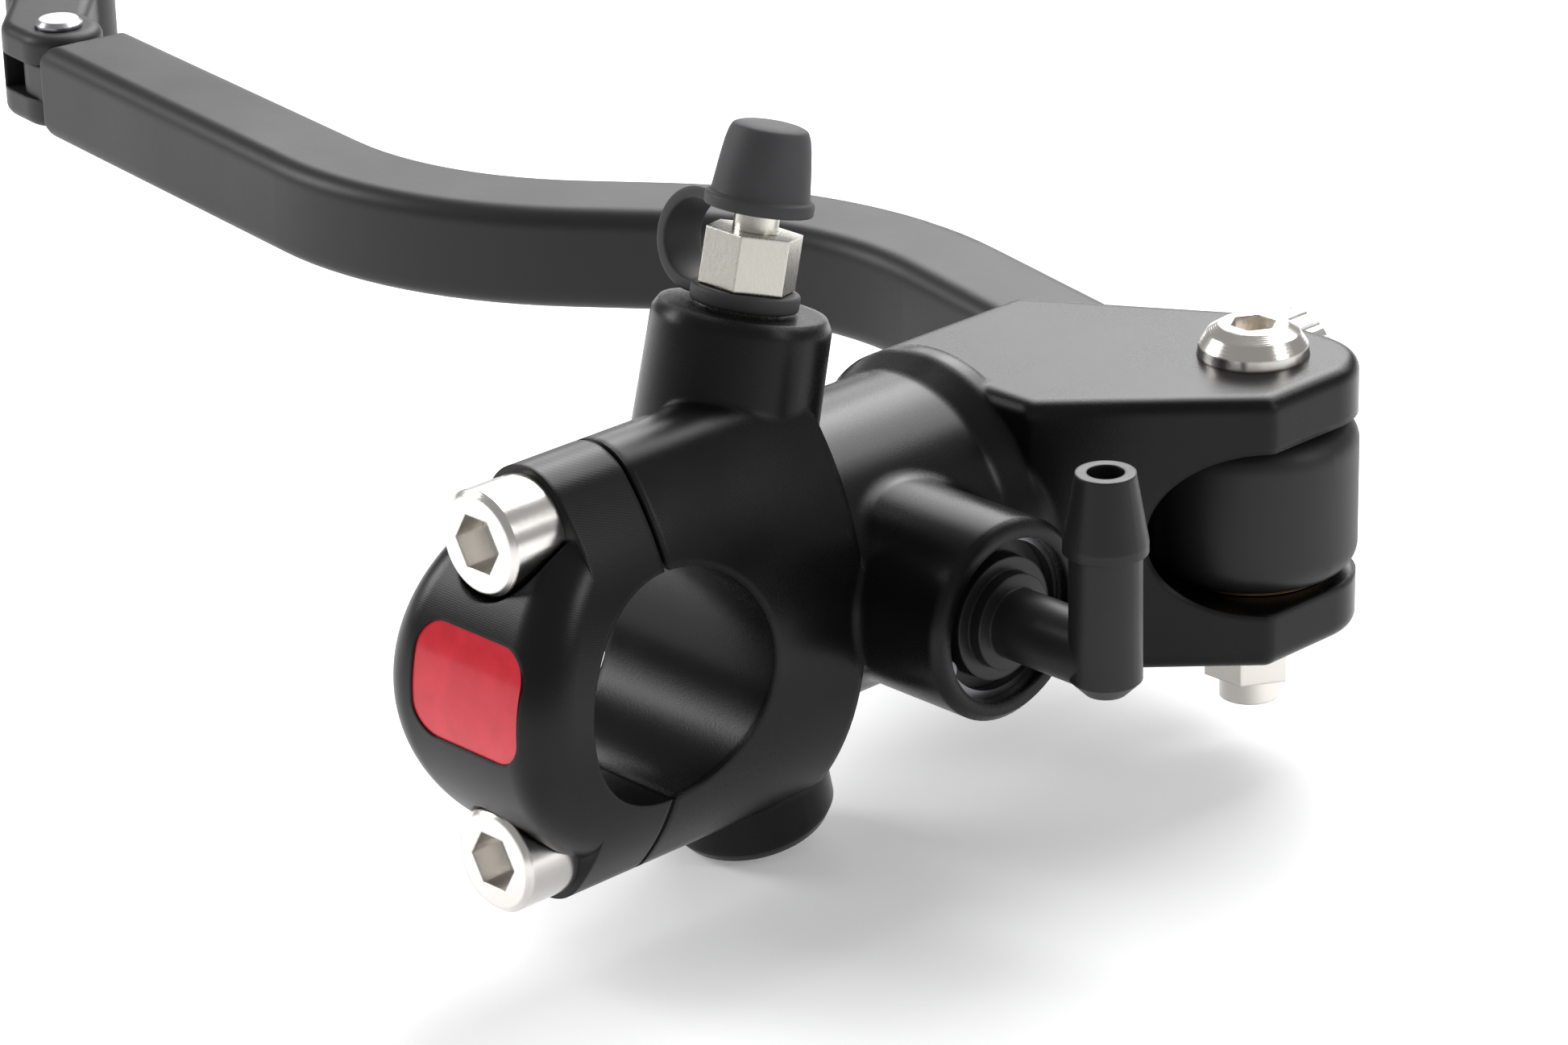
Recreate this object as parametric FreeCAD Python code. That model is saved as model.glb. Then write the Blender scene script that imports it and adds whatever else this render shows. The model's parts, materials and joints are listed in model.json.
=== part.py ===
import FreeCAD, Part
import math
import os

os.makedirs("parts", exist_ok=True)

# Frame: origin at the centre of the handlebar clamp's bore. +X along the handlebar towards the
# hose elbow, +Y along the cylinder away from the rider, +Z up towards the bleed nipple. Millimetres.

# Handlebar clamp
bar_r = 11.1
clamp_half = 11.1
cap_wall = 6.5
split_half_gap = 0.25
cap_round = 4.2
lug_seat_y = -8.1
lug_back_y = 10.0
screw_r = 2.95
screw_gap = 1.35
screw_fit = 0.06
screw_head_r = 4.95
screw_head_h = 6.0
screw_key = 5.0
screw_reach = 16.5
head_room = 0.35
lug_end_r = 5.6
web_rise = 7.0
web_past_floor = 5.4
root_round = 2.0

# Inlay in the clamp cap
inlay_x = 1.0
inlay_z = 2.4
inlay_w = 14.0
inlay_h = 10.8
inlay_corner = 3.0
inlay_depth = 0.9
inlay_sink = 0.15

# Cylinder
cyl_x = -4.0
tube_r = 14.1
bore_r = 9.5
floor_wall = 5.9
bore_length = 37.0
yoke_before_mouth = 8.5
yoke_r = 15.4
edge_round = 1.0

# Upper and lower bosses
port_lean = 14.0
port_before_floor = 1.4
upper_boss_r = 8.4
lower_boss_r = 7.9
upper_reach = 27.4
lower_reach = 25.4
port_hole_r = 1.6
bleed_thread_r = 4.0
bleed_fit = 0.08
outlet_r = 4.5
outlet_depth = 11.0

# Reservoir boss and elbow
inlet_past_floor = 13.9
inlet_boss_r = 9.7
inlet_boss_x = 21.3
inlet_bore_r = 6.2
inlet_floor_x = 8.2
ledge_r = 7.9
ledge_x = 16.6
running_fit = 0.05
elbow_flange_t = 1.8
elbow_neck_r = 4.6
elbow_x = 33.0
elbow_tube_r = 3.35
elbow_hole_r = 1.7
elbow_top_z = 17.9
elbow_low_z = -3.4
barb_r = 3.9
barb_z = 11.0
barb_tip_r = 2.75
seal_wire_r = 1.0
ring_wire = 1.0
feed_hole_r = 1.5
bypass_hole_r = 0.4

# Yoke and lever pivot
pivot_x = 16.0
pivot_past_mouth = 16.0
arm_top_z = 13.8
window_z = 8.3
window_past_mouth = 7.8
window_open_x = 4.0
arm_edge_x = 9.6
arm_front_y = 8.0
arm_tip_r = 9.6
pivot_shank_r = 3.0
pivot_hole_fit = 0.06
pivot_head_r = 5.45
pivot_head_h = 3.1
pivot_key = 4.0
pivot_nut_af = 8.0
pivot_nut_h = 5.4
bolt_end = 2.6
bush_r = 4.5
washer_t = 0.5
washer_r = 7.6
axial_play = 0.1

# Lever
crank_lead = 11.0
lever_half_h = 5.8
lever_half_w = 6.2
lever_hub_r = 10.3
elbow_out_x = -61.0
elbow_out_past_pivot = 21.4
elbow_in_x = -99.6
elbow_in_past_pivot = -8.5
lever_joint_x = -178.0
lever_joint_past_pivot = 2.6
lever_bend_r = 44.0
lever_root_x = -12.0
lever_root_past_pivot = 10.0
lever_round = 2.2
head_round = 2.6
barrel_r = 5.5
tip_length = 17.0
tip_flare = 35.0
tip_lug_r = 5.2
tip_tongue_half = 2.1
tip_gap = 0.5
tip_slot_past = 0.4
tip_pin_r = 1.75
tip_end_r = 6.8
joint_fit = 0.04

# Piston train
piston_fit = 0.04
nose_before_inlet = 0.7
tail_before_mouth = 1.8
piston_waist_r = 6.4
cup_length = 3.4
cup_seat_r = 6.0
spring_wire_r = 0.55
spring_r = 6.6
spring_turns = 3.0
rod_r = 3.0
rod_ball_r = 3.6
rod_ball_fit = 0.25
ball_before_mouth = 7.0
boot_wall = 0.9
boot_lip_fit = 0.1
boot_length = 8.3
stop_washer_t = 1.0
knob_r = 5.6
knob_length = 8.5
knob_gap = 18.5
knob_teeth = 20

# Bleed nipple and its cap
hex_af = 8.0
hex_h = 5.2
hex_lift = 2.0
neck_r = 3.4
stem_r = 2.1
stem_h = 3.0
stem_bulb_r = 2.8
bleed_bore_r = 0.9
rubber_brim_r = 5.1
rubber_top_r = 3.8
rubber_h = 8.0
strap_w = 5.0
strap_t = 1.2
strap_ring_fit = 0.12
clip_eye_r = 1.05
clip_eye_turn = 29.0
clip_eye_inset = 0.1

# Worked out from the sizes above
screw_z = bar_r + screw_gap + screw_r
cap_front_r = bar_r + cap_wall
web_top_z = screw_z + web_rise
bore_floor_y = bar_r + floor_wall
web_end_y = bore_floor_y + web_past_floor
port_y = bore_floor_y - port_before_floor
inlet_y = bore_floor_y + inlet_past_floor
mouth_y = bore_floor_y + bore_length
yoke_start_y = mouth_y - yoke_before_mouth
window_centre_y = mouth_y + window_past_mouth
pivot_y = mouth_y + pivot_past_mouth
piston_nose_y = inlet_y - nose_before_inlet
piston_tail_y = mouth_y - tail_before_mouth
rod_ball_y = mouth_y - ball_before_mouth
lever_root = (lever_root_x, pivot_y + lever_root_past_pivot)
lever_elbow_out = (elbow_out_x, pivot_y + elbow_out_past_pivot)
lever_elbow_in = (elbow_in_x, pivot_y + elbow_in_past_pivot)
lever_joint = (lever_joint_x, pivot_y + lever_joint_past_pivot)
side_reach = screw_z ** 2 + clamp_half ** 2 - lug_end_r ** 2
clamp_side_r = side_reach / (2.0 * (clamp_half - lug_end_r))
crank_r = (pivot_x - cyl_x) * 2.0 / (1.0 + math.cos(math.radians(crank_lead)))
barrel_x = pivot_x - crank_r * math.cos(math.radians(crank_lead))
barrel_y = pivot_y + crank_r * math.sin(math.radians(crank_lead))
piston_r = bore_r - piston_fit
boss_dir = FreeCAD.Vector(0, math.sin(math.radians(port_lean)), math.cos(math.radians(port_lean)))
low_dir = FreeCAD.Vector(0, boss_dir.y, -boss_dir.z)
boss_root = FreeCAD.Vector(cyl_x, port_y, 0)

AXIS_X = FreeCAD.Vector(1, 0, 0)
AXIS_Y = FreeCAD.Vector(0, 1, 0)
AXIS_Z = FreeCAD.Vector(0, 0, 1)


def at(x, y, z):
    return FreeCAD.Vector(x, y, z)


def rod(start, axis, radius, length):
    return Part.makeCylinder(radius, length, start, axis)


def block(x0, x1, y0, y1, z0, z1):
    return Part.makeBox(x1 - x0, y1 - y0, z1 - z0, at(x0, y0, z0))


def place(shape, origin, axis):
    """Turns a shape built on +Z at the zero point to stand on axis at origin."""
    shape.Placement = FreeCAD.Placement(origin, FreeCAD.Rotation(AXIS_Z, axis))
    return shape


def turned(profile, origin, axis):
    """Lathe-turned solid: profile is a closed list of (radius, height)."""
    points = [at(r, 0, h) for r, h in profile]
    face = Part.Face(Part.makePolygon(points + [points[0]]))
    return place(face.revolve(at(0, 0, 0), AXIS_Z, 360), origin, axis)


def hex_bar(across_flats, height, origin, axis):
    corner = across_flats / math.sqrt(3)
    points = [at(corner * math.cos(math.radians(60 * k)), corner * math.sin(math.radians(60 * k)), 0)
              for k in range(7)]
    return place(Part.Face(Part.makePolygon(points)).extrude(at(0, 0, height)), origin, axis)


def prism(points, height, plane_z):
    corners = [at(x, y, plane_z) for x, y in points]
    return Part.Face(Part.makePolygon(corners + [corners[0]])).extrude(at(0, 0, height))


def side_prism(points, half_width, mid_x):
    """Prism along X from a list of (y, z)."""
    corners = [at(mid_x - half_width, y, z) for y, z in points]
    return Part.Face(Part.makePolygon(corners + [corners[0]])).extrude(at(2 * half_width, 0, 0))


def rounded_wire(points, radii, z):
    """Closed outline with a rounding at each corner."""
    edges = []
    starts = []
    ends = []
    mids = []
    count = len(points)
    for k in range(count):
        here = at(points[k][0], points[k][1], z)
        before = at(points[k - 1][0], points[k - 1][1], z)
        after = at(points[(k + 1) % count][0], points[(k + 1) % count][1], z)
        to_before = (before - here).normalize()
        to_after = (after - here).normalize()
        half = to_before.getAngle(to_after) / 2.0
        run = radii[k] / math.tan(half)
        bisector = (to_before + to_after).normalize()
        centre = here + bisector * (radii[k] / math.sin(half))
        starts.append(here + to_before * run)
        ends.append(here + to_after * run)
        mids.append(centre - bisector * radii[k])
    for k in range(count):
        if radii[k] > 0:
            edges.append(Part.Arc(starts[k], mids[k], ends[k]).toShape())
        edges.append(Part.makeLine(ends[k], starts[(k + 1) % count]))
    return Part.Wire(Part.__sortEdges__(edges))


def plate(points, radii, z0, z1):
    return Part.Face(rounded_wire(points, radii, z0)).extrude(at(0, 0, z1 - z0))


def edges_at_z(shape, z):
    return [e for e in shape.Edges
            if abs(e.BoundBox.ZMin - z) < 1e-4 and abs(e.BoundBox.ZMax - z) < 1e-4]


def clamp_envelope():
    """Outline seen along the cylinder: bulging sides that run smoothly into a round end at each screw."""
    side_x = clamp_side_r - clamp_half
    reach = screw_z * clamp_side_r / (clamp_side_r - lug_end_r)
    lean = side_x * clamp_side_r / (clamp_side_r - lug_end_r) - side_x
    start = lug_seat_y * 3
    right_arc = Part.Arc(at(lean, start, -reach), at(clamp_half, start, 0), at(lean, start, reach)).toShape()
    left_arc = Part.Arc(at(-lean, start, reach), at(-clamp_half, start, 0),
                        at(-lean, start, -reach)).toShape()
    tip = screw_z + lug_end_r
    top_arc = Part.Arc(at(lean, start, reach), at(0, start, tip), at(-lean, start, reach)).toShape()
    low_arc = Part.Arc(at(-lean, start, -reach), at(0, start, -tip), at(lean, start, -reach)).toShape()
    outline = Part.Wire([right_arc, top_arc, left_arc, low_arc])
    return Part.Face(outline).extrude(at(0, 60, 0))


def make_clamp_cap():
    top = screw_z + lug_end_r
    blank = rod(at(-30, 0, 0), AXIS_X, cap_front_r, 60).common(clamp_envelope())
    rims = [e for e in blank.Edges if e.BoundBox.YMin < -15.0]
    blank = blank.makeFillet(cap_round, rims)
    blank = blank.fuse(side_prism([(lug_seat_y, -top), (0, -top), (0, top), (lug_seat_y, top)], 30, 0))
    blank = blank.common(clamp_envelope())
    blank = blank.common(block(-30, 30, -30, -split_half_gap, -30, 30))
    for side in (1, -1):
        seat = at(0, lug_seat_y, side * screw_z)
        blank = blank.cut(rod(seat, AXIS_Y.negative(), screw_head_r + head_room, 20))
        blank = blank.cut(rod(at(0, -20, side * screw_z), AXIS_Y, screw_r + screw_fit, 30))
    blank = blank.cut(rod(at(-30, 0, 0), AXIS_X, bar_r, 60))
    return blank.cut(inlay_blank(0.0))


def inlay_blank(slack):
    half_w = inlay_w / 2.0 - slack
    half_h = inlay_h / 2.0 - slack
    corner = inlay_corner - slack
    points = [(-half_w, -half_h), (half_w, -half_h), (half_w, half_h), (-half_w, half_h)]
    solid = plate(points, [corner] * 4, 0, 10)
    seat = at(inlay_x, -bar_r, inlay_z)
    solid.Placement = FreeCAD.Placement(seat, FreeCAD.Rotation(AXIS_X, 90))
    return solid.cut(rod(at(-30, 0, 0), AXIS_X, cap_front_r - inlay_depth, 60))


def make_cap_inlay():
    shell = rod(at(-30, 0, 0), AXIS_X, cap_front_r - inlay_sink, 60)
    return inlay_blank(0.03).common(shell)


def make_clamp_screws():
    screws = []
    for side in (1, -1):
        seat = at(0, lug_seat_y, side * screw_z)
        chamfer = 0.5
        head = turned([(0, 0), (screw_head_r, 0), (screw_head_r, screw_head_h - chamfer),
                       (screw_head_r - chamfer, screw_head_h), (0, screw_head_h)],
                      seat, AXIS_Y.negative())
        key = hex_bar(screw_key, 4, at(0, lug_seat_y - screw_head_h + 3.2, side * screw_z),
                      AXIS_Y.negative())
        shank = rod(seat, AXIS_Y, screw_r, screw_reach)
        screws.append(head.fuse(shank).cut(key))
    return Part.makeCompound(screws)


def body_clamp_half():
    top = screw_z + lug_end_r
    low = web_top_z - 4.0
    outline = [(0, -top), (lug_back_y * 0.5, -top), (web_end_y - 4, -web_top_z), (web_end_y, -low),
               (web_end_y, low), (web_end_y - 4, web_top_z), (lug_back_y * 0.5, top), (0, top)]
    blank = side_prism(outline, 30, 0).common(clamp_envelope())
    return blank.common(block(-30, 30, split_half_gap, 60, -40, 40))


def body_boss(direction, radius, reach):
    return turned([(0, 0), (radius + 0.5, 0), (radius, reach - edge_round),
                   (radius - edge_round * 0.6, reach), (0, reach)], boss_root, direction)


def yoke_plan(z0, z1):
    right = pivot_x + arm_edge_x
    points = [(cyl_x - yoke_r, yoke_start_y), (cyl_x + yoke_r - 2, yoke_start_y),
              (right, pivot_y - arm_front_y), (right, pivot_y + arm_tip_r * 0.95),
              (pivot_x - arm_tip_r * 0.8, pivot_y + arm_tip_r * 0.95),
              (cyl_x - yoke_r, window_centre_y)]
    return plate(points, [1.0, 1.0, 1.5, 7.5, 6.0, 6.0], z0, z1)


def body_yoke():
    arms = yoke_plan(-arm_top_z, arm_top_z)
    rounded = []
    for z in (arm_top_z, -arm_top_z):
        rounded = rounded + edges_at_z(arms, z)
    arms = arms.makeFillet(edge_round * 1.4, rounded)
    barrel = rod(at(cyl_x, yoke_start_y, 0), AXIS_Y, yoke_r, pivot_y + arm_tip_r - yoke_start_y)
    side = rod(at(pivot_x, yoke_start_y, 0), AXIS_Y, arm_top_z * 1.6, 60)
    collar = turned([(0, 0), (tube_r, 0), (yoke_r, 3.2), (yoke_r, 5.0), (0, 5.0)],
                    at(cyl_x, yoke_start_y - 3, 0), AXIS_Y)
    return arms.common(barrel.fuse(side)).fuse(collar)


def window_cut():
    slot = rod(at(-40, window_centre_y, 0), AXIS_X, window_z, 80)
    slot = slot.fuse(block(-40, 40, window_centre_y, 120, -window_z, window_z))
    return slot.fuse(block(-40, window_open_x, window_centre_y - window_z, 120, -window_z, window_z))


def bore_cuts():
    cuts = [rod(at(cyl_x, bore_floor_y, 0), AXIS_Y, bore_r, mouth_y - bore_floor_y + 4)]
    cuts.append(rod(at(cyl_x, mouth_y - 1.6, 0), AXIS_Y, bore_r + 1.0, 8))
    cuts.append(rod(at(cyl_x, mouth_y - 3.6, 0), AXIS_Y, bore_r + 0.9, ring_wire + 0.1))
    return cuts


def port_cuts():
    cuts = []
    cuts.append(rod(boss_root, boss_dir, port_hole_r, upper_reach + 1))
    cuts.append(rod(boss_root, low_dir, port_hole_r, lower_reach + 1))
    nipple_floor = boss_root + boss_dir * (upper_reach - 12.0)
    cuts.append(rod(nipple_floor, boss_dir, bleed_thread_r + bleed_fit, 20))
    outlet_floor = boss_root + low_dir * (lower_reach - outlet_depth)
    cuts.append(rod(outlet_floor, low_dir, outlet_r, 20))
    return cuts


def inlet_cuts():
    cuts = [rod(at(inlet_floor_x, inlet_y, 0), AXIS_X, inlet_bore_r, 30)]
    cuts.append(rod(at(ledge_x, inlet_y, 0), AXIS_X, ledge_r, 30))
    cuts.append(rod(at(ledge_x + elbow_flange_t + 0.1, inlet_y, 0), AXIS_X, ledge_r + 0.7, ring_wire + 0.1))
    cuts.append(rod(at(cyl_x, inlet_y + 3.2, 0), AXIS_X, feed_hole_r, 30))
    cuts.append(rod(at(cyl_x, piston_nose_y - 1.6, 0), AXIS_X, bypass_hole_r, 30))
    return cuts


def screw_cuts():
    return [rod(at(0, 0, side * screw_z), AXIS_Y, screw_r + screw_fit, screw_reach + lug_seat_y + 1.0)
            for side in (1, -1)]


def inlet_root_edges(solid):
    """The edges where the reservoir boss grows out of the cylinder."""
    found = []
    for edge in solid.Edges:
        middle = edge.valueAt((edge.FirstParameter + edge.LastParameter) / 2.0)
        from_axis = math.hypot(middle.y - inlet_y, middle.z)
        if abs(from_axis - inlet_boss_r) < 0.01 and middle.x < inlet_boss_x - 2:
            found.append(edge)
    return found


def make_body():
    tube = rod(at(cyl_x, port_y - 2, 0), AXIS_Y, tube_r, yoke_start_y - port_y + 2)
    inlet = turned([(0, 0), (inlet_boss_r, 0), (inlet_boss_r, inlet_boss_x - cyl_x - 0.7),
                    (inlet_boss_r - 0.7, inlet_boss_x - cyl_x), (0, inlet_boss_x - cyl_x)],
                   at(cyl_x, inlet_y, 0), AXIS_X)
    solid = tube.fuse(inlet).removeSplitter()
    solid = solid.makeFillet(root_round, inlet_root_edges(solid))
    solid = solid.fuse(body_clamp_half())
    solid = solid.fuse(body_boss(boss_dir, upper_boss_r, upper_reach))
    solid = solid.fuse(body_boss(low_dir, lower_boss_r, lower_reach))
    solid = solid.fuse(body_yoke())
    solid = solid.cut(rod(at(-30, 0, 0), AXIS_X, bar_r, 60))
    for tool in bore_cuts() + port_cuts() + inlet_cuts() + screw_cuts():
        solid = solid.cut(tool)
    solid = solid.cut(window_cut())
    solid = solid.cut(rod(at(pivot_x, pivot_y, -30), AXIS_Z, pivot_shank_r + pivot_hole_fit, 60))
    return solid.removeSplitter()


def make_pivot_bolt():
    shank_length = 2 * arm_top_z + pivot_nut_h + bolt_end
    head = turned([(0, 0), (pivot_head_r, 0), (pivot_head_r * 0.97, pivot_head_h * 0.35),
                   (pivot_head_r * 0.82, pivot_head_h * 0.75), (pivot_head_r * 0.6, pivot_head_h),
                   (0, pivot_head_h)], at(pivot_x, pivot_y, arm_top_z), AXIS_Z)
    shank = rod(at(pivot_x, pivot_y, arm_top_z), AXIS_Z.negative(), pivot_shank_r, shank_length)
    key = hex_bar(pivot_key, 4, at(pivot_x, pivot_y, arm_top_z + pivot_head_h - 2.2), AXIS_Z)
    return head.fuse(shank).cut(key)


def make_pivot_nut():
    base = at(pivot_x, pivot_y, -arm_top_z)
    down = AXIS_Z.negative()
    nut = hex_bar(pivot_nut_af, pivot_nut_h, base, down)
    flange = turned([(0, 0), (5.2, 0), (5.2, 0.6), (4.2, 1.2), (0, 1.2)], base, down)
    return nut.fuse(flange).cut(rod(base, down, pivot_shank_r + 0.02, 10))


def make_pivot_bush():
    length = 2 * (window_z - 0.05)
    outer = rod(at(pivot_x, pivot_y, -length / 2), AXIS_Z, bush_r, length)
    return outer.cut(rod(at(pivot_x, pivot_y, -20), AXIS_Z, pivot_shank_r + 0.04, 40))


def make_pivot_washers():
    rings = []
    for base in (window_z - axial_play - washer_t, -window_z + axial_play):
        ring = rod(at(pivot_x, pivot_y, base), AXIS_Z, washer_r, washer_t)
        rings.append(ring.cut(rod(at(pivot_x, pivot_y, -20), AXIS_Z, bush_r + 0.06, 40)))
    return Part.makeCompound(rings)


def offset_point(before, here, after, shift):
    """Point beside a bend of the lever's middle line, shift to the left of its run."""
    first = (at(here[0] - before[0], here[1] - before[1], 0)).normalize()
    second = (at(after[0] - here[0], after[1] - here[1], 0)).normalize()
    normal_a = at(-first.y, first.x, 0)
    normal_b = at(-second.y, second.x, 0)
    mid = (normal_a + normal_b).normalize()
    reach = shift / mid.dot(normal_a)
    return (here[0] + mid.x * reach, here[1] + mid.y * reach)


def along(a, b):
    return at(b[0] - a[0], b[1] - a[1], 0).normalize()


def blade_outline():
    stations = [(barrel_x + 8, barrel_y + 1.5), lever_root, lever_elbow_out, lever_elbow_in, lever_joint]
    near = []
    far = []
    for k in range(1, 4):
        near.append(offset_point(stations[k - 1], stations[k], stations[k + 1], lever_half_w))
        far.append(offset_point(stations[k - 1], stations[k], stations[k + 1], -lever_half_w))
    run = along(lever_elbow_in, lever_joint)
    back = tip_lug_r + tip_gap
    end = (lever_joint[0] - run.x * back, lever_joint[1] - run.y * back)
    end_near = (end[0] - run.y * lever_half_w, end[1] + run.x * lever_half_w)
    end_far = (end[0] + run.y * lever_half_w, end[1] - run.x * lever_half_w)
    root_near = (barrel_x + 2, barrel_y - barrel_r - 3.2)
    root_far = (barrel_x + 3, barrel_y + barrel_r + 6.5)
    points = [root_near] + near + [end_near, end_far] + far[::-1] + [root_far]
    out_r = lever_bend_r + lever_half_w
    in_r = lever_bend_r - lever_half_w
    radii = [1.5, 14.0, in_r, out_r, 0.8, 0.8, in_r, out_r, 14.0, 4.0]
    return points, radii


def lever_head():
    half = window_z - axial_play - washer_t
    points = [(barrel_x - barrel_r - 5, barrel_y - barrel_r - 2.6), (pivot_x - 3, pivot_y - lever_hub_r + 0.5),
              (pivot_x + 3, pivot_y + lever_hub_r - 0.5), (barrel_x + 3, barrel_y + barrel_r + 6.5),
              (barrel_x - barrel_r - 6, barrel_y + barrel_r + 6)]
    head = plate(points, [4.0, 3.0, 4.0, 4.0, 4.0], -half, half)
    hub = rod(at(pivot_x, pivot_y, -half), AXIS_Z, lever_hub_r, 2 * half)
    head = head.fuse(hub).removeSplitter()
    rim = edges_at_z(head, half) + edges_at_z(head, -half)
    return head.makeFillet(head_round, rim)


def rod_slot():
    """Room for the pushrod while the lever swings: a fan on both sides of the barrel."""
    half = rod_r + 0.5
    swing = math.radians(2 * crank_lead)
    reach = barrel_r * 6
    lean = at(math.sin(swing), math.cos(swing), 0)
    side = at(math.cos(swing), -math.sin(swing), 0)
    points = []
    for step, cross in ((reach, half), (0.1, half), (0.1, -half), (reach, -half)):
        points.append((barrel_x + lean.x * step + side.x * cross, barrel_y + lean.y * step + side.y * cross))
    fan = prism(points, 2 * half, -half)
    straight = block(barrel_x - half, barrel_x + half, barrel_y - 40, barrel_y + 40, -half, half)
    wedge = prism([(barrel_x, barrel_y), (barrel_x - half, barrel_y + reach),
                   (barrel_x + lean.x * reach + side.x * half, barrel_y + lean.y * reach + side.y * half)],
                  2 * half, -half)
    above = fan.fuse(wedge)
    below = above.mirror(at(barrel_x, barrel_y, 0), AXIS_Y).mirror(at(barrel_x, barrel_y, 0), AXIS_X)
    return straight.fuse(above).fuse(below)


def make_lever_blade():
    points, radii = blade_outline()
    blade = plate(points, radii, -lever_half_h, lever_half_h)
    rims = edges_at_z(blade, lever_half_h) + edges_at_z(blade, -lever_half_h)
    blade = blade.makeFillet(lever_round, rims)
    blade = blade.fuse(lever_head())
    run = along(lever_elbow_in, lever_joint)
    root = (lever_joint[0] - run.x * 9, lever_joint[1] - run.y * 9)
    width = tip_lug_r - 0.6
    points = [(root[0] - run.y * width, root[1] + run.x * width),
              (lever_joint[0] - run.y * width, lever_joint[1] + run.x * width),
              (lever_joint[0] + run.y * width, lever_joint[1] - run.x * width),
              (root[0] + run.y * width, root[1] - run.x * width)]
    tongue = prism(points, 2 * tip_tongue_half, -tip_tongue_half)
    centre = at(lever_joint[0], lever_joint[1], -tip_tongue_half)
    tongue = tongue.fuse(rod(centre, AXIS_Z, width, 2 * tip_tongue_half))
    blade = blade.fuse(tongue)
    blade = blade.cut(rod(at(lever_joint[0], lever_joint[1], -20), AXIS_Z, tip_pin_r + 0.02, 40))
    blade = blade.cut(rod(at(barrel_x, barrel_y, -20), AXIS_Z, barrel_r + joint_fit, 40))
    blade = blade.cut(rod(at(pivot_x, pivot_y, -20), AXIS_Z, bush_r + 0.02, 40))
    return blade.cut(rod_slot()).removeSplitter()


def make_lever_tip():
    run = along(lever_elbow_in, lever_joint)
    turn = math.radians(-tip_flare)
    out = at(run.x * math.cos(turn) - run.y * math.sin(turn),
             run.x * math.sin(turn) + run.y * math.cos(turn), 0)
    knee = (lever_joint[0] + run.x * 4, lever_joint[1] + run.y * 4)
    end = (knee[0] + out.x * tip_length, knee[1] + out.y * tip_length)
    half = tip_lug_r
    near = offset_point(lever_joint, knee, end, half)
    far = offset_point(lever_joint, knee, end, -half)
    points = [(lever_joint[0] - run.y * half, lever_joint[1] + run.x * half), near,
              (end[0] - out.y * half, end[1] + out.x * half), (end[0] + out.y * half, end[1] - out.x * half),
              far, (lever_joint[0] + run.y * half, lever_joint[1] - run.x * half)]
    tip = plate(points, [0.0, 6.0, 3.0, 3.0, 2.0, 0.0], -lever_half_h, lever_half_h)
    tip = tip.fuse(rod(at(lever_joint[0], lever_joint[1], -lever_half_h), AXIS_Z, half, 2 * lever_half_h))
    tip = tip.fuse(rod(at(end[0], end[1], -lever_half_h), AXIS_Z, tip_end_r, 2 * lever_half_h))
    tip = tip.removeSplitter()
    rims = edges_at_z(tip, lever_half_h) + edges_at_z(tip, -lever_half_h)
    tip = tip.makeFillet(lever_round * 0.6, rims)
    slot = block(-half - 2, half + tip_slot_past, -20, 20, -tip_tongue_half - 0.1, tip_tongue_half + 0.1)
    slot = slot.fuse(rod(at(0, 0, -tip_tongue_half - 0.1), AXIS_Z, half + 0.3, 2 * tip_tongue_half + 0.2))
    spin = FreeCAD.Rotation(AXIS_X, run)
    slot.Placement = FreeCAD.Placement(at(lever_joint[0], lever_joint[1], 0), spin)
    tip = tip.cut(slot)
    return tip.cut(rod(at(lever_joint[0], lever_joint[1], -20), AXIS_Z, tip_pin_r + joint_fit, 40))


def make_tip_pin():
    middle = at(lever_joint[0], lever_joint[1], 0)
    seat = lever_half_h + 0.05
    head_profile = [(0, 0), (2.9, 0), (2.9, 0.4), (2.4, 0.9), (0, 0.9)]
    head = turned(head_profile, middle + AXIS_Z * seat, AXIS_Z)
    foot = turned(head_profile, middle - AXIS_Z * seat, AXIS_Z.negative())
    shank = rod(middle - AXIS_Z * (seat + 0.05), AXIS_Z, tip_pin_r, 2 * (seat + 0.05))
    return shank.fuse(head).fuse(foot)


def make_trunnion():
    half = window_z - axial_play - washer_t - 0.1
    barrel = turned([(0, -half), (barrel_r - 0.5, -half), (barrel_r, -half + 0.5), (barrel_r, half - 0.5),
                     (barrel_r - 0.5, half), (0, half)], at(barrel_x, barrel_y, 0), AXIS_Z)
    return barrel.cut(rod(at(barrel_x, barrel_y - 20, 0), AXIS_Y, rod_r + joint_fit, 40))


def make_pushrod():
    reach = barrel_y + knob_gap + knob_length * 0.7 - rod_ball_y
    ball = Part.makeSphere(rod_ball_r, at(barrel_x, rod_ball_y, 0))
    return ball.fuse(rod(at(barrel_x, rod_ball_y, 0), AXIS_Y, rod_r, reach))


def make_adjuster_knob():
    base = at(barrel_x, barrel_y + knob_gap, 0)
    knob = turned([(0, 0), (knob_r - 1.4, 0), (knob_r, 1.2), (knob_r, knob_length - 1.6),
                   (knob_r - 1.0, knob_length - 0.4), (knob_r - 2.2, knob_length),
                    (0, knob_length)], base, AXIS_Y)
    for k in range(knob_teeth):
        angle = 2 * math.pi * k / knob_teeth
        foot = base + at(knob_r * 1.02 * math.cos(angle), -0.5, knob_r * 1.02 * math.sin(angle))
        knob = knob.cut(rod(foot, AXIS_Y, 0.42, knob_length + 1))
    return knob.cut(rod(base - AXIS_Y, AXIS_Y, rod_r + 0.02, knob_length * 0.7 + 1.1))


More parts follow.
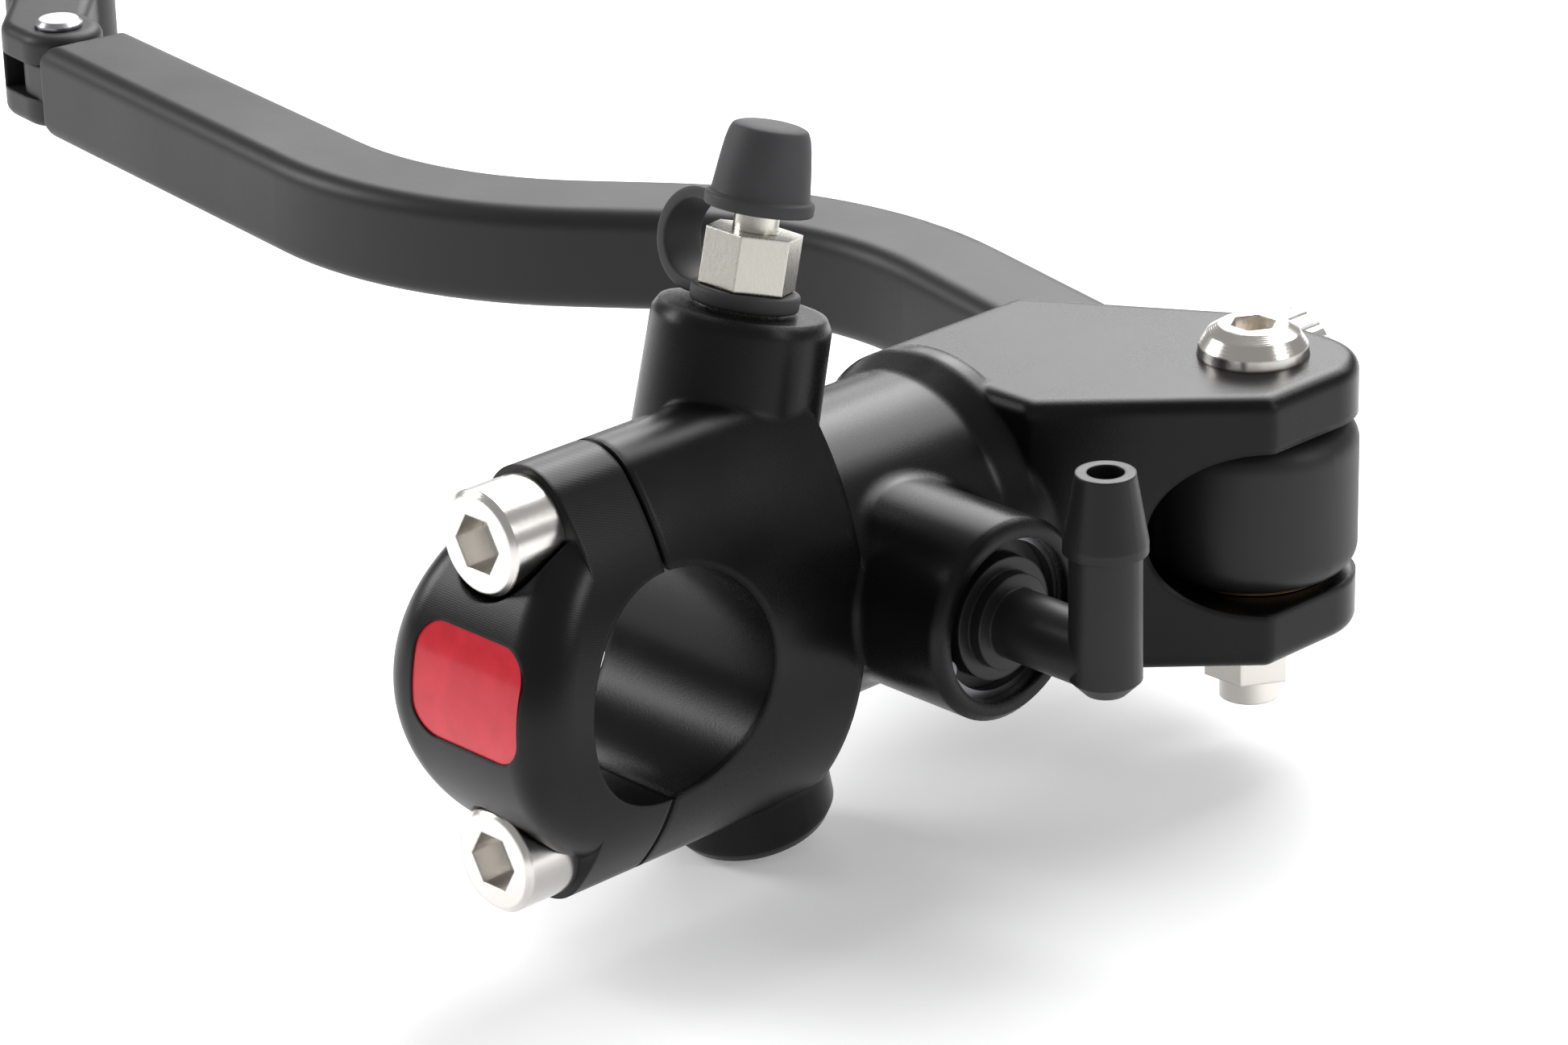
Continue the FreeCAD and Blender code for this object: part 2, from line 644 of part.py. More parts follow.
def make_piston():
    shoulder = mouth_y - 3.6 - 0.1 - stop_washer_t - 0.05 - piston_nose_y
    tail = piston_tail_y - piston_nose_y
    front_groove = 1.2
    rear_groove = shoulder - 1.6 - cup_length
    body = turned([(0, -2.4), (spring_r - spring_wire_r - 0.9, -2.4), (spring_r - spring_wire_r - 0.5, 0),
                   (piston_r, 0), (piston_r, front_groove), (cup_seat_r, front_groove),
                   (cup_seat_r, front_groove + cup_length), (piston_r, front_groove + cup_length),
                   (piston_r, front_groove + cup_length + 1), (piston_waist_r, front_groove + cup_length + 1.6),
                   (piston_waist_r, rear_groove - 2.4), (piston_r, rear_groove - 1.8), (piston_r, rear_groove),
                   (cup_seat_r, rear_groove), (cup_seat_r, rear_groove + cup_length),
                   (piston_r, rear_groove + cup_length), (piston_r, shoulder), (7.0, shoulder),
                   (7.0, tail), (0, tail)], at(cyl_x, piston_nose_y, 0), AXIS_Y)
    socket = Part.makeSphere(rod_ball_r + rod_ball_fit, at(cyl_x, rod_ball_y, 0))
    socket = socket.fuse(rod(at(cyl_x, rod_ball_y, 0), AXIS_Y, rod_ball_r + rod_ball_fit, 20))
    return body.cut(socket)


def make_cup(start_y):
    inner = cup_seat_r + 0.02
    outer = bore_r - 0.02
    middle = (inner + outer) / 2.0
    length = cup_length - 0.04
    return turned([(inner, length), (inner, 0.3), (inner + 0.9, 0), (middle, 1.5), (outer - 0.9, 0),
                   (outer, 0.3), (outer, 1.6), (outer - 0.3, 2.2), (outer - 0.3, length)],
                  at(cyl_x, start_y + 0.02, 0), AXIS_Y)


def make_primary_cup():
    return make_cup(piston_nose_y + 1.2)


def make_secondary_cup():
    return make_cup(mouth_y - 3.6 - 0.1 - stop_washer_t - 0.05 - 1.6 - cup_length)


def make_return_spring():
    start = bore_floor_y + spring_wire_r + 0.05
    height = piston_nose_y - spring_wire_r - 0.05 - start
    helix = Part.makeHelix(height / spring_turns, height, spring_r)
    ring = Part.Wire(Part.makeCircle(spring_wire_r, at(spring_r, 0, 0), AXIS_Y))
    coil = Part.Wire(helix.Edges).makePipeShell([ring], True, True)
    return place(coil, at(cyl_x, start, 0), AXIS_Y)


def make_stop_washer():
    ring = rod(at(cyl_x, mouth_y - 3.6 - 0.05 - stop_washer_t, 0), AXIS_Y, bore_r - 0.05, stop_washer_t)
    return ring.cut(rod(at(cyl_x, mouth_y - 20, 0), AXIS_Y, 7.3, 40))


def make_ring_clip(outer, thickness, origin, axis):
    """Internal retaining ring: open ring with two lugs."""
    ring = rod(at(0, 0, 0), AXIS_Z, outer, thickness)
    ring = ring.cut(rod(at(0, 0.25, -1), AXIS_Z, outer - 1.3, thickness + 2))
    gap = [(0, 0), (0.45 * outer, -1.2 * outer), (-0.45 * outer, -1.2 * outer)]
    ring = ring.cut(prism(gap, thickness, 0))
    eye_reach = outer - clip_eye_r - clip_eye_inset
    turn = math.radians(clip_eye_turn)
    for side in (1, -1):
        eye = at(side * eye_reach * math.sin(turn), -eye_reach * math.cos(turn), 0)
        ring = ring.fuse(rod(eye, AXIS_Z, clip_eye_r, thickness))
        ring = ring.cut(rod(eye - AXIS_Z, AXIS_Z, 0.5, thickness + 2))
    return place(ring, origin, axis)


def make_piston_circlip():
    return make_ring_clip(bore_r + 0.8, ring_wire, at(cyl_x, mouth_y - 3.55, 0), AXIS_Y)


def make_elbow_circlip():
    start = ledge_x + elbow_flange_t + 0.15
    return make_ring_clip(ledge_r + 0.6, ring_wire, at(start, inlet_y, 0), AXIS_X)


def make_dust_boot():
    wall = boot_wall
    folds = [(8.9, 0.6), (7.6, 1.6), (8.3, 2.8), (6.7, 4.0), (7.3, 5.2), (4.9, 6.6)]
    lip = rod_r + abs(barrel_x - cyl_x) + boot_lip_fit
    outer = [(bore_r + 0.94, -1.5), (bore_r + 0.94, -0.1), (8.9 + wall * 0.4, 0.0)]
    outer = outer + folds[1:] + [(lip + 1.1, 7.4), (lip + 1.1, boot_length)]
    inner = [(lip, boot_length), (lip, 7.2)] + [(r - wall, h - 0.1) for r, h in folds[::-1]] + [(7.8, -1.5)]
    return turned(outer + inner, at(cyl_x, mouth_y, 0), AXIS_Y)


def make_bleed_nipple():
    base = upper_reach + hex_lift
    top = base + hex_h
    profile = [(0, upper_reach - 11.8), (1.2, upper_reach - 11.8), (bleed_thread_r, upper_reach - 9.0),
               (bleed_thread_r, upper_reach), (neck_r, upper_reach), (neck_r, base), (0, base)]
    nipple = turned(profile, boss_root, boss_dir)
    nipple = nipple.fuse(hex_bar(hex_af, hex_h, boss_root + boss_dir * base, boss_dir))
    stem = turned([(0, top), (stem_r, top), (stem_r, top + stem_h), (stem_bulb_r, top + stem_h + 0.8),
                   (stem_bulb_r, top + stem_h + 1.6), (stem_r, top + stem_h + 4.2), (0, top + stem_h + 4.2)],
                  boss_root, boss_dir)
    nipple = nipple.fuse(stem)
    nipple = nipple.cut(rod(boss_root + boss_dir * (upper_reach - 9.5), boss_dir, bleed_bore_r, 30))
    cross = rod(boss_root + boss_dir * (upper_reach - 8.4) - AXIS_X * 6, AXIS_X, 0.7, 12)
    return nipple.cut(cross)


def make_bleed_cap():
    base = upper_reach + hex_lift
    brim = base + hex_h + stem_h - 1.0
    cup = turned([(0, brim), (rubber_brim_r, brim), (rubber_brim_r, brim + 1.0),
                  (rubber_brim_r - 0.4, brim + 1.3),
                  (rubber_top_r, brim + rubber_h - 0.8), (rubber_top_r - 0.8, brim + rubber_h),
                  (0, brim + rubber_h)], boss_root, boss_dir)
    ring = turned([(0, upper_reach + 0.25), (neck_r + 1.7, upper_reach + 0.25),
                   (neck_r + 1.7, base - 0.15), (0, base - 0.15)], boss_root, boss_dir)
    neck_hole = rod(boss_root + boss_dir * upper_reach, boss_dir, neck_r + strap_ring_fit, hex_lift)
    hollow = turned([(0, brim - 1), (stem_bulb_r + 0.08, brim - 1), (stem_bulb_r + 0.08, brim + 3.6),
                     (stem_r + 0.3, brim + 5.6), (0, brim + 5.6)], boss_root, boss_dir)
    strap = bleed_strap(brim)
    return cup.fuse(strap).cut(hollow).fuse(ring).cut(neck_hole)


def bleed_strap(brim):
    """Strap from the ring under the hexagon, out and up to the cap's brim, on the rider's left."""
    low = upper_reach + 0.3
    high = brim + 0.9
    middle = (low + high) / 2.0
    half = (high - low) / 2.0
    loop = rod(at(0, 0, -strap_w / 2), AXIS_Z, half, strap_w)
    loop = loop.cut(rod(at(0, 0, -strap_w), AXIS_Z, half - strap_t, 2 * strap_w))
    loop = loop.cut(block(0.3, 20, -20, 20, -20, 20))
    arms = block(0, 2.2, half - strap_t, half, -strap_w / 2, strap_w / 2)
    feet = block(0, 2.2, -half, -half + strap_t, -strap_w / 2, strap_w / 2)
    loop = loop.fuse(arms).fuse(feet)
    loop = loop.removeSplitter()
    side = FreeCAD.Vector(-1, 0, 0)
    up = boss_dir
    turn = FreeCAD.Rotation(side.negative(), up, side.negative().cross(up), "XYZ")
    loop.Placement = FreeCAD.Placement(boss_root + up * middle + side * (neck_r + 2.0), turn)
    return loop


def make_reservoir_elbow():
    flange = ledge_x + 0.05
    groove = inlet_floor_x + 3.6
    spigot = inlet_bore_r - running_fit
    floor = spigot - 2 * seal_wire_r
    profile = [(0, inlet_floor_x + 1), (spigot - 0.5, inlet_floor_x + 1), (spigot, inlet_floor_x + 1.6),
               (spigot, groove), (floor, groove), (floor, groove + 2.4), (spigot, groove + 2.4), (spigot, flange),
               (ledge_r - running_fit, flange), (ledge_r - running_fit, flange + elbow_flange_t),
               (5.9, flange + elbow_flange_t), (5.9, flange + elbow_flange_t + 1.9),
               (elbow_neck_r, flange + elbow_flange_t + 1.9), (elbow_neck_r, flange + elbow_flange_t + 3.2),
               (elbow_tube_r, flange + elbow_flange_t + 3.4), (elbow_tube_r, elbow_x), (0, elbow_x)]
    solid = turned(profile, at(0, inlet_y, 0), AXIS_X)
    tube = turned([(0, elbow_low_z), (elbow_tube_r - 1.4, elbow_low_z), (elbow_tube_r, elbow_low_z + 1.4),
                   (elbow_tube_r, barb_z - 0.8), (barb_r, barb_z - 0.6), (barb_r, barb_z + 0.3),
                   (barb_tip_r, elbow_top_z), (0, elbow_top_z)], at(elbow_x, inlet_y, 0), AXIS_Z)
    solid = solid.fuse(tube)
    hole_run = elbow_x - inlet_floor_x
    solid = solid.cut(rod(at(inlet_floor_x - 1, inlet_y, 0), AXIS_X, elbow_hole_r + 0.3, hole_run))
    return solid.cut(rod(at(elbow_x, inlet_y, -1.5), AXIS_Z, elbow_hole_r, 30))


def make_elbow_seal():
    ring_r = inlet_bore_r - 0.03 - seal_wire_r
    return place(Part.makeTorus(ring_r, seal_wire_r - 0.02), at(inlet_floor_x + 4.8, inlet_y, 0), AXIS_X)


makers = {
    "master_cylinder": make_body,
    "clamp_cap": make_clamp_cap,
    "clamp_screws": make_clamp_screws,
    "cap_inlay": make_cap_inlay,
    "bleed_nipple": make_bleed_nipple,
    "bleed_cap": make_bleed_cap,
    "reservoir_elbow": make_reservoir_elbow,
    "elbow_seal": make_elbow_seal,
    "elbow_circlip": make_elbow_circlip,
    "piston": make_piston,
    "primary_cup": make_primary_cup,
    "secondary_cup": make_secondary_cup,
    "return_spring": make_return_spring,
    "stop_washer": make_stop_washer,
    "piston_circlip": make_piston_circlip,
    "dust_boot": make_dust_boot,
    "pushrod": make_pushrod,
    "trunnion": make_trunnion,
    "adjuster_knob": make_adjuster_knob,
    "lever_blade": make_lever_blade,
    "lever_tip": make_lever_tip,
    "tip_pin": make_tip_pin,
    "pivot_bolt": make_pivot_bolt,
    "pivot_nut": make_pivot_nut,
    "pivot_bush": make_pivot_bush,
    "pivot_washers": make_pivot_washers,
}

for name, maker in makers.items():
    maker().exportStep("parts/" + name + ".step")
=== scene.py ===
import json
import math
import bpy
from mathutils import Euler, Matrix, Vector


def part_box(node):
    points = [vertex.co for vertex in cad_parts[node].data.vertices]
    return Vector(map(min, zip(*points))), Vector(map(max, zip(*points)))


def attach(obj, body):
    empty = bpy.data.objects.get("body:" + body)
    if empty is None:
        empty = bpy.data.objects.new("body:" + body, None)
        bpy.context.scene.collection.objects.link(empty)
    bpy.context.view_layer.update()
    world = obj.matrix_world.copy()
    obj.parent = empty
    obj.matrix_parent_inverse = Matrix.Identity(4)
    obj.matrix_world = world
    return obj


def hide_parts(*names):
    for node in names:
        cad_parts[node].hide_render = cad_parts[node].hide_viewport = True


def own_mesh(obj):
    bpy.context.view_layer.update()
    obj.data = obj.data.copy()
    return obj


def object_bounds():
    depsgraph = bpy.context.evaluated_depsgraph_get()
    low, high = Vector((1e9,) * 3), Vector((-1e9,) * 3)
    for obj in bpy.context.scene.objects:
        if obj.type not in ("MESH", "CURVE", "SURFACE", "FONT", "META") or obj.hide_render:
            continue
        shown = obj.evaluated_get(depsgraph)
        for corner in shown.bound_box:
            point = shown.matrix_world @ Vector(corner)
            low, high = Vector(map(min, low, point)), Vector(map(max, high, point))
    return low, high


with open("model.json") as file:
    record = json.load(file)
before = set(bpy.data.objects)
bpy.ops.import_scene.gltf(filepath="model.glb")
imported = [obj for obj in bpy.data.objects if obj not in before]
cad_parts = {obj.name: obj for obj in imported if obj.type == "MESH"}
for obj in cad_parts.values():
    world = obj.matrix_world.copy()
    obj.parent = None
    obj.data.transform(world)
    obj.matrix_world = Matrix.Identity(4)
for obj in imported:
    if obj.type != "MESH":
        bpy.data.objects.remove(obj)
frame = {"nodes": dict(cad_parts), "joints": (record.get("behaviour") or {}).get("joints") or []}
nodes = frame["nodes"]
cadBox = [list(v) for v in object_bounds()]
print("frame loaded")


# shader maths: wraps one socket so that sums can be written out
class Sock:
    def __init__(self, tree, out):
        self.tree = tree
        self.out = out

    def calc(self, kind, *args):
        n = self.tree.nodes.new("ShaderNodeMath")
        n.operation = kind
        for i, a in enumerate(args):
            if isinstance(a, Sock):
                self.tree.links.new(a.out, n.inputs[i])
            else:
                n.inputs[i].default_value = a
        return Sock(self.tree, n.outputs[0])

    def __add__(self, o): return self.calc("ADD", self, o)
    def __radd__(self, o): return self.calc("ADD", o, self)
    def __sub__(self, o): return self.calc("SUBTRACT", self, o)
    def __rsub__(self, o): return self.calc("SUBTRACT", o, self)
    def __mul__(self, o): return self.calc("MULTIPLY", self, o)
    def __rmul__(self, o): return self.calc("MULTIPLY", o, self)
    def __pow__(self, o): return self.calc("POWER", self, o)
    def __abs__(self): return self.calc("ABSOLUTE", self)
    def sin(self): return self.calc("SINE", self)


class Mat:
    def __init__(self, name, base, rough, metal=0.0, spec=0.5, coat=0.0):
        self.mat = bpy.data.materials.new(name)
        self.mat.use_nodes = True
        self.tree = self.mat.node_tree
        self.bsdf = self.tree.nodes["Principled BSDF"]
        self.bsdf.inputs["Base Color"].default_value = (*base, 1.0)
        self.bsdf.inputs["Roughness"].default_value = rough
        self.bsdf.inputs["Metallic"].default_value = metal
        self.bsdf.inputs["Specular IOR Level"].default_value = spec
        self.bsdf.inputs["Coat Weight"].default_value = coat
        self.bsdf.inputs["Coat Roughness"].default_value = 0.12
        self.normal = None

    # one way to add any other node: settings first, then what its inputs take
    def node(self, kind, settings, ins, out=0):
        n = self.tree.nodes.new(kind)
        for k, v in settings.items():
            setattr(n, k, v)
        for k, v in ins.items():
            if isinstance(v, Sock):
                self.tree.links.new(v.out, n.inputs[k])
            else:
                n.inputs[k].default_value = v
        return Sock(self.tree, n.outputs[out])

    def coord(self):
        return self.node("ShaderNodeTexCoord", {}, {}, "Object")

    def axes(self):
        c = self.coord()
        return [self.node("ShaderNodeSeparateXYZ", {}, {0: c}, k) for k in range(3)]

    def noise(self, scale, detail=2.0, rough=0.5):
        ins = {"Vector": self.coord(), "Scale": scale, "Detail": detail, "Roughness": rough}
        return self.node("ShaderNodeTexNoise", {}, ins)

    def streaks(self, stretch, scale, detail=2.0):
        v = self.node("ShaderNodeMapping", {}, {"Vector": self.coord(), "Scale": stretch})
        return self.node("ShaderNodeTexNoise", {}, {"Vector": v, "Scale": scale, "Detail": detail})

    def ramp(self, value, low, high, colLow, colHigh):
        ends = {0: value, 1: low, 2: high, 3: 0.0, 4: 1.0}
        t = self.node("ShaderNodeMapRange", {"clamp": True}, ends)
        n = self.tree.nodes.new("ShaderNodeMix")
        n.data_type = "RGBA"
        self.tree.links.new(t.out, n.inputs[0])
        n.inputs[6].default_value = (*colLow, 1.0)
        n.inputs[7].default_value = (*colHigh, 1.0)
        return Sock(self.tree, n.outputs[2])

    def feed(self, name, value):
        self.tree.links.new(value.out, self.bsdf.inputs[name])

    def round(self, radius):
        self.normal = self.node("ShaderNodeBevel", {"samples": 4}, {"Radius": radius})

    def bump(self, height, depth, strength=1.0):
        ins = {"Height": height, "Distance": depth, "Strength": strength}
        if self.normal:
            ins["Normal"] = self.normal
        self.normal = self.node("ShaderNodeBump", {}, ins)

    def done(self):
        if self.normal:
            self.feed("Normal", self.normal)
        return self.mat


def paint(names, mat):
    for n in names:
        data = nodes[n].data
        data.materials.clear()
        data.materials.append(mat)


# black hard anodising over a bead-blasted body
bodySet = {"dark": (0.004, 0.004, 0.005), "light": (0.009, 0.009, 0.010), "rough": 0.18,
           "round": 0.0010, "grain": 5200.0, "depth": 0.000012}
body = Mat("anodised", bodySet["dark"], bodySet["rough"], 0.0, 0.34)
body.round(bodySet["round"])
fine = body.noise(bodySet["grain"], 3.0, 0.6)
cloud = body.noise(90.0, 4.0)
body.bump(fine, bodySet["depth"], 0.7)
body.feed("Roughness", bodySet["rough"] + cloud * 0.12 + fine * 0.05)
body.feed("Base Color", body.ramp(cloud, 0.3, 0.75, bodySet["dark"], bodySet["light"]))
paint(["master_cylinder"], body.done())

# clamp cap: same colour, milled, so faint lines run across it
capSet = {"base": (0.006, 0.006, 0.007), "rough": 0.22, "round": 0.0005,
          "pitch": 0.00022, "depth": 0.000004}
cap = Mat("capAnodised", capSet["base"], capSet["rough"], 0.0, 0.40)
cap.round(capSet["round"])
x, y, z = cap.axes()
cut = ((y * 0.35 + z) * (2 * math.pi / capSet["pitch"])).sin()
capFine = cap.noise(5200.0, 3.0, 0.6)
cap.bump(cut * 0.4 + capFine, capSet["depth"], 0.8)
cap.feed("Roughness", capSet["rough"] + cap.noise(120.0, 4.0) * 0.13 + capFine * 0.06)
paint(["clamp_cap"], cap.done())

# lever: satin powder coat with a soft orange peel
leverSet = {"base": (0.024, 0.024, 0.025), "rough": 0.36, "peel": 900.0, "depth": 0.00003}
lever = Mat("leverCoat", leverSet["base"], leverSet["rough"], 0.0, 0.5)
lever.round(0.0006)
peel = lever.noise(leverSet["peel"], 2.0)
grit = lever.noise(6000.0, 2.0)
lever.bump(peel + grit * 0.35, leverSet["depth"], 0.35)
lever.feed("Roughness", leverSet["rough"] + lever.noise(60.0, 3.0) * 0.12 + grit * 0.05)
paint(["lever_blade", "lever_tip"], lever.done())

# turned bright steel for the clamp screws: rings about each screw's own axis
screwSet = {"base": (0.78, 0.76, 0.73), "rough": 0.13, "ring": 0.00016, "depth": 0.000004}
low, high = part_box("clamp_screws")
screwZ = (high[2] - low[2]) / 2 - (high[0] - low[0]) / 2
screw = Mat("screwSteel", screwSet["base"], screwSet["rough"], 1.0)
screw.round(0.0003)
x, y, z = screw.axes()
dz = abs(z) - screwZ
radius = (x * x + dz * dz) ** 0.5
rings = (radius * (2 * math.pi / screwSet["ring"])).sin()
lathe = screw.streaks((1.0, 16.0, 1.0), 900.0, 3.0)
screw.bump(rings * 0.4 + lathe, screwSet["depth"], 0.8)
screw.feed("Roughness", screwSet["rough"] + lathe * 0.14 + screw.noise(300.0, 3.0) * 0.06)
paint(["clamp_screws"], screw.done())

# pivot bolt and nut: brushed stainless, rings about the pivot
pivotSet = {"base": (0.74, 0.71, 0.67), "rough": 0.15, "ring": 0.0002, "depth": 0.000005}
low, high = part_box("pivot_bolt")
pivotAt = ((low[0] + high[0]) / 2, (low[1] + high[1]) / 2)
pivot = Mat("pivotSteel", pivotSet["base"], pivotSet["rough"], 1.0)
pivot.round(0.0003)
x, y, z = pivot.axes()
px, py = x - pivotAt[0], y - pivotAt[1]
rings = ((px * px + py * py) ** 0.5 * (2 * math.pi / pivotSet["ring"])).sin()
pivot.bump(rings * 0.5 + pivot.noise(4000.0, 2.0), pivotSet["depth"], 0.8)
pivot.feed("Roughness", pivotSet["rough"] + pivot.noise(260.0, 3.0) * 0.14)
paint(["pivot_bolt", "pivot_nut"], pivot.done())

# bleed nipple: plain stainless with drawn flats
bleedSet = {"base": (0.70, 0.68, 0.62), "rough": 0.2, "depth": 0.000006}
bleed = Mat("bleedSteel", bleedSet["base"], bleedSet["rough"], 1.0)
bleed.round(0.00025)
drawn = bleed.streaks((1.0, 1.0, 0.08), 5000.0, 3.0)
bleed.bump(drawn, bleedSet["depth"], 0.7)
bleed.feed("Roughness", bleedSet["rough"] + drawn * 0.16)
paint(["bleed_nipple"], bleed.done())

# enamel plaque in the cap
enamelSet = {"dark": (0.62, 0.011, 0.030), "light": (0.70, 0.018, 0.042), "rough": 0.28}
enamel = Mat("enamel", enamelSet["dark"], enamelSet["rough"], 0.0, 0.5, 0.35)
enamel.bump(enamel.noise(1400.0, 2.0), 0.00001, 0.4)
mottle = enamel.noise(500.0, 3.0)
enamelRed = enamel.ramp(mottle, 0.35, 0.7, enamelSet["dark"], enamelSet["light"])
enamel.feed("Base Color", enamelRed)
paint(["cap_inlay"], enamel.done())

# moulded elbow, glass-filled plastic
elbowSet = {"base": (0.016, 0.016, 0.017), "rough": 0.28, "depth": 0.00002}
elbow = Mat("elbowPlastic", elbowSet["base"], elbowSet["rough"], 0.0, 0.5)
elbow.round(0.0003)
mould = elbow.noise(1800.0, 3.0)
elbow.bump(mould, elbowSet["depth"], 0.35)
elbow.feed("Roughness", elbowSet["rough"] + elbow.noise(220.0, 3.0) * 0.14 + mould * 0.06)
paint(["reservoir_elbow"], elbow.done())

# inner metal parts
steelSet = {"base": (0.45, 0.45, 0.46), "rough": 0.22}
steel = Mat("platedSteel", steelSet["base"], steelSet["rough"], 1.0)
steel.round(0.0002)
steel.bump(steel.streaks((1.0, 14.0, 1.0), 700.0, 3.0), 0.000006, 0.7)
steel.feed("Roughness", steelSet["rough"] + steel.noise(400.0, 3.0) * 0.16)
paint(["pushrod", "trunnion", "stop_washer", "tip_pin"], steel.done())

springSet = {"base": (0.24, 0.24, 0.25), "rough": 0.26}
springMat = Mat("springSteel", springSet["base"], springSet["rough"], 1.0)
springMat.bump(springMat.noise(2600.0, 3.0), 0.000008, 0.6)
springMat.feed("Roughness", springSet["rough"] + springMat.noise(500.0, 3.0) * 0.16)
paint(["elbow_circlip", "piston_circlip"], springMat.done())

alloySet = {"base": (0.60, 0.60, 0.58), "rough": 0.24, "turning": 0.00025}
alloy = Mat("pistonAlloy", alloySet["base"], alloySet["rough"], 1.0)
x, y, z = alloy.axes()
turned = (y * (2 * math.pi / alloySet["turning"])).sin()
alloy.bump(turned + alloy.noise(3000.0, 2.0), 0.000005, 0.7)
alloy.feed("Roughness", alloySet["rough"] + alloy.noise(350.0, 3.0) * 0.14)
paint(["piston"], alloy.done())

knobSet = {"base": (0.82, 0.81, 0.79), "rough": 0.16}
knob = Mat("knobAlloy", knobSet["base"], knobSet["rough"], 1.0)
knob.round(0.0003)
knob.bump(knob.noise(2400.0, 3.0), 0.00001, 0.5)
knob.feed("Roughness", knobSet["rough"] + knob.noise(380.0, 3.0) * 0.16)
paint(["adjuster_knob"], knob.done())

bronzeSet = {"base": (0.55, 0.36, 0.18), "rough": 0.3}
bronze = Mat("bronze", bronzeSet["base"], bronzeSet["rough"], 1.0)
pores = bronze.noise(3600.0, 4.0, 0.7)
bronze.bump(pores, 0.00002, 0.6)
bronze.feed("Roughness", bronzeSet["rough"] + pores * 0.25)
paint(["pivot_bush", "pivot_washers"], bronze.done())

sealSet = {"base": (0.014, 0.014, 0.015), "rough": 0.42}
seal = Mat("seal", sealSet["base"], sealSet["rough"], 0.0, 0.4)
seal.bump(seal.noise(2000.0, 3.0), 0.00002, 0.5)
seal.feed("Roughness", sealSet["rough"] + seal.noise(300.0, 3.0) * 0.2)
paint(["elbow_seal", "primary_cup", "secondary_cup"], seal.done())
print("materials on the frame")


def editAll():
    bpy.ops.object.mode_set(mode="EDIT")
    bpy.ops.mesh.select_all(action="DESELECT")
    bpy.ops.mesh.select_all(action="SELECT")


# a lathe-turned piece: one vertex is drawn out along the profile, then spun about Z
def spinPiece(name, profile, steps):
    bpy.ops.mesh.primitive_plane_add(size=0.001, location=(0, 0, 0))
    obj = bpy.context.object
    obj.name = name
    editAll()
    bpy.ops.mesh.merge(type="CENTER")
    bpy.ops.transform.translate(value=(profile[0][0], 0, profile[0][1]))
    for a, b in zip(profile, profile[1:]):
        step = {"value": (b[0] - a[0], 0, b[1] - a[1])}
        bpy.ops.mesh.extrude_region_move(TRANSFORM_OT_translate=step)
    bpy.ops.mesh.select_all(action="SELECT")
    bpy.ops.mesh.spin(steps=steps, angle=2 * math.pi, center=(0, 0, 0), axis=(0, 0, 1))
    bpy.ops.mesh.select_all(action="SELECT")
    bpy.ops.mesh.remove_doubles(threshold=0.000004)
    bpy.ops.mesh.normals_make_consistent(inside=False)
    bpy.ops.object.mode_set(mode="OBJECT")
    return obj


def soften(obj, width, levels):
    bevel = obj.modifiers.new("edge", "BEVEL")
    bevel.width = width
    bevel.segments = 3
    bevel.angle_limit = math.radians(28)
    bpy.context.view_layer.objects.active = obj
    bpy.ops.object.modifier_apply(modifier=bevel.name)
    if levels:
        sub = obj.modifiers.new("smooth", "SUBSURF")
        sub.levels = levels
        sub.render_levels = levels
        bpy.ops.object.modifier_apply(modifier=sub.name)
    bpy.ops.object.shade_smooth_by_angle(angle=math.radians(40))


# puts a piece made on Z onto its own axis and leaves the object at the origin
def settle(obj, axis, place):
    obj.rotation_euler = Vector((0, 0, 1)).rotation_difference(Vector(axis)).to_euler()
    obj.location = place
    bpy.ops.object.select_all(action="DESELECT")
    obj.select_set(True)
    bpy.context.view_layer.objects.active = obj
    bpy.ops.object.transform_apply(location=True, rotation=True, scale=True)


def joint(name):
    return [j for j in frame["joints"] if j["name"] == name][0]


# rubber cap over the bleed nipple, with the strap that keeps it
capRubber = {"brim": 0.0092, "height": 0.0080, "brimR": 0.0051, "topR": 0.0038, "wall": 0.0010,
             "ringLow": 0.00025, "ringHigh": 0.00185, "ringIn": 0.00352, "ringOut": 0.0051,
             "strapW": 0.0048, "strapT": 0.0012, "strapOut": 0.0054,
             "strapLow": 0.0003, "strapHigh": 0.0101}
b, r, t = capRubber["brim"], capRubber["brimR"], capRubber["topR"]
top = b + capRubber["height"]
hollow = r - capRubber["wall"] - 0.0012
profile = [(0, b + 0.0056), (hollow - 0.0005, b + 0.0056), (hollow, b + 0.0036),
           (hollow, b), (r, b),
           (r, b + 0.0011), (r - 0.0005, b + 0.0014), (r - 0.0006, b + 0.0022),
           (t + 0.0002, top - 0.0014), (t - 0.0003, top - 0.0004), (t - 0.0012, top), (0, top)]
cover = spinPiece("rubberCap", profile, 56)
soften(cover, 0.00018, 1)
low, high = capRubber["ringLow"], capRubber["ringHigh"]
ringIn, ringOut = capRubber["ringIn"], capRubber["ringOut"]
corners = [(ringIn, low), (ringOut, low), (ringOut, high), (ringIn, high), (ringIn, low)]
ring = spinPiece("rubberRing", corners, 56)
soften(ring, 0.0003, 1)

